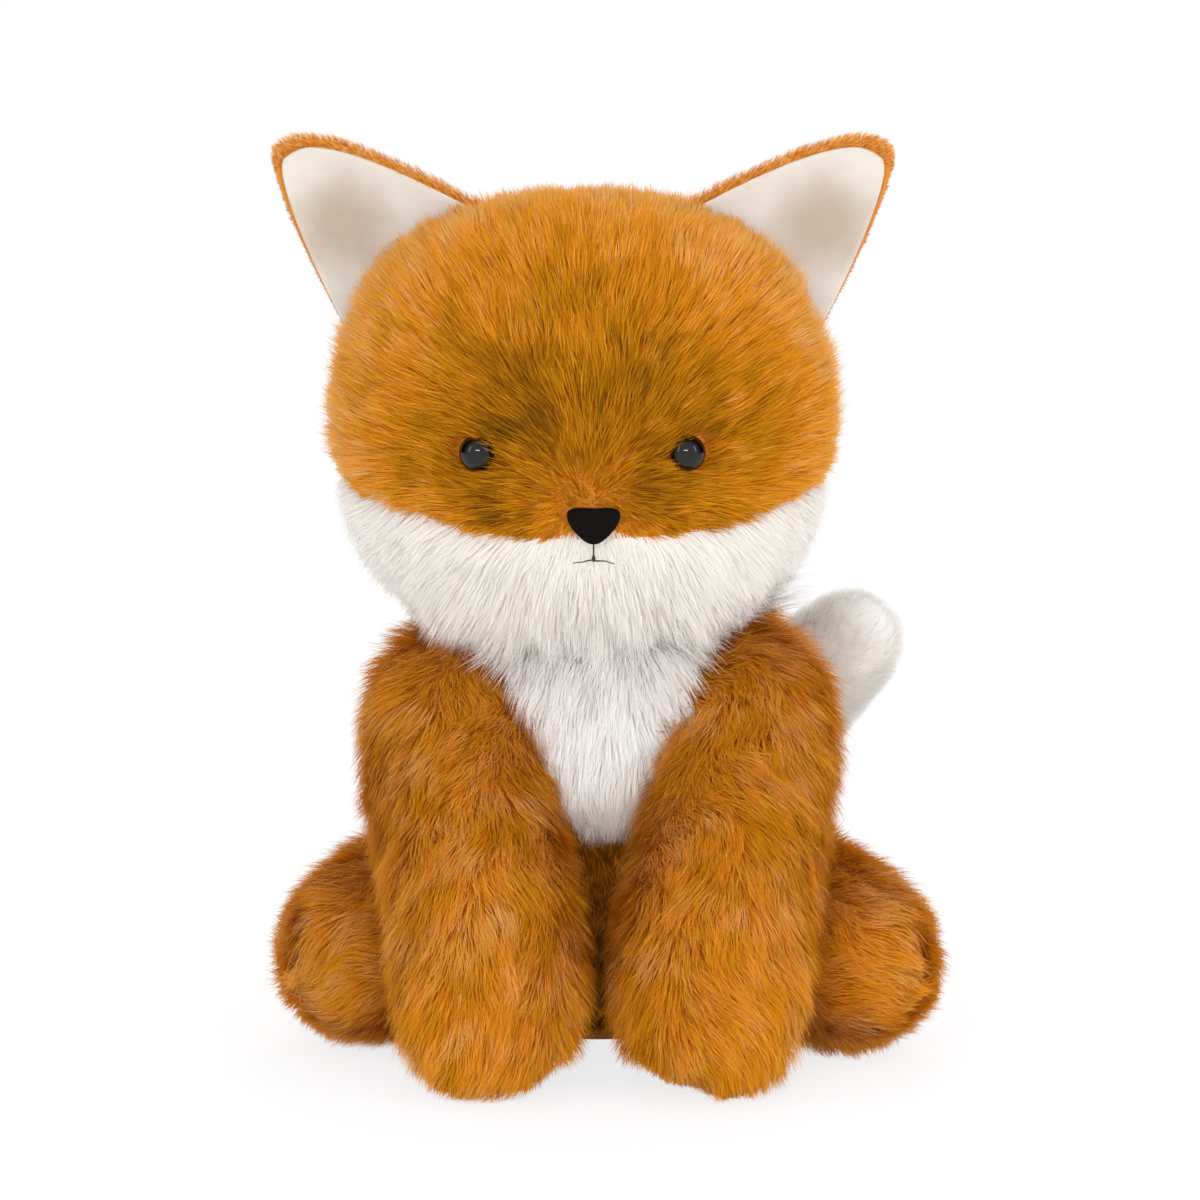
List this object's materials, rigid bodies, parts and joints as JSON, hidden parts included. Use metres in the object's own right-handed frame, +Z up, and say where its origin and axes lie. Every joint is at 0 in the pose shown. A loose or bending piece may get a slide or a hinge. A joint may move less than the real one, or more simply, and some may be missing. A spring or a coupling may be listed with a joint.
{
  "type": "plush fox",
  "caption": "Sitting plush fox with a big round head, wide upright ears, a white muzzle and bib, long front legs, splayed hind legs and a white-tipped tail.",
  "frame": {"origin": "middle of the seat panel's underside, on the surface that the fox sits on", "axes": "-Y is where the fox faces, +X its own left side, +Z up"},
  "size_m": [0.1763, 0.1776, 0.2394],
  "materials": {
    "orange_long_pile": "long pile",
    "white_long_pile": "long pile",
    "white_short_pile": "short pile",
    "orange_short_pile": "short pile",
    "ear_velour": "smooth",
    "stuffing": "loose",
    "washer": "matt",
    "eye": "polished",
    "nose": "flocked",
    "thread": "satin",
    "base_cloth": "woven",
    "bag_cotton": "woven"
  },
  "bodies": {
    "body": {"body_skin": "orange_long_pile", "chest_bib": "white_long_pile", "seat_panel": "base_cloth", "pellet_bag": "bag_cotton", "body_stuffing": "stuffing"},
    "head": {"head_crown_skin": "orange_long_pile", "head_muzzle_skin": "white_long_pile", "head_stuffing": "stuffing", "left_eye": "eye", "right_eye": "eye", "left_eye_washer": "washer", "right_eye_washer": "washer", "nose": "nose", "nose_washer": "washer", "mouth_stitching": "thread", "left_ear_back": "orange_short_pile", "left_ear_lining": "ear_velour", "right_ear_back": "orange_short_pile", "right_ear_lining": "ear_velour"},
    "left_arm": {"left_arm_skin": "orange_long_pile", "left_arm_stuffing": "stuffing"},
    "right_arm": {"right_arm_skin": "orange_long_pile", "right_arm_stuffing": "stuffing"},
    "left_leg": {"left_leg_skin": "orange_long_pile", "left_leg_stuffing": "stuffing"},
    "right_leg": {"right_leg_skin": "orange_long_pile", "right_leg_stuffing": "stuffing"},
    "tail": {"tail_skin": "orange_long_pile", "tail_tip_skin": "white_short_pile", "tail_stuffing": "stuffing"}
  },
  "joints": [
    {"name": "head_turn", "type": "hinge", "parent": "body", "child": "head", "pos_m": [-0.0044, -0.002, 0.1085], "axis": [0, 0, 1], "range_deg": [-15, 15], "stiffness_Nm_per_rad": 0.15},
    {"name": "left_arm_lift", "type": "hinge", "parent": "body", "child": "left_arm", "pos_m": [0.038, -0.014, 0.0884], "axis": [-1, 0, 0], "range_deg": [0, 25], "stiffness_Nm_per_rad": 0.08},
    {"name": "right_arm_lift", "type": "hinge", "parent": "body", "child": "right_arm", "pos_m": [-0.038, -0.014, 0.0884], "axis": [-1, 0, 0], "range_deg": [0, 25], "stiffness_Nm_per_rad": 0.08},
    {"name": "left_leg_splay", "type": "hinge", "parent": "body", "child": "left_leg", "pos_m": [0.0485, 0.012, 0.0275], "axis": [0, 0, 1], "range_deg": [0, 11], "stiffness_Nm_per_rad": 0.08},
    {"name": "right_leg_splay", "type": "hinge", "parent": "body", "child": "right_leg", "pos_m": [-0.0485, 0.012, 0.0275], "axis": [0, 0, -1], "range_deg": [0, 11], "stiffness_Nm_per_rad": 0.08},
    {"name": "tail_sway", "type": "hinge", "parent": "body", "child": "tail", "pos_m": [0, 0.046, 0.026], "axis": [0, 0, 1], "range_deg": [-10, 20], "stiffness_Nm_per_rad": 0.05}
  ]
}
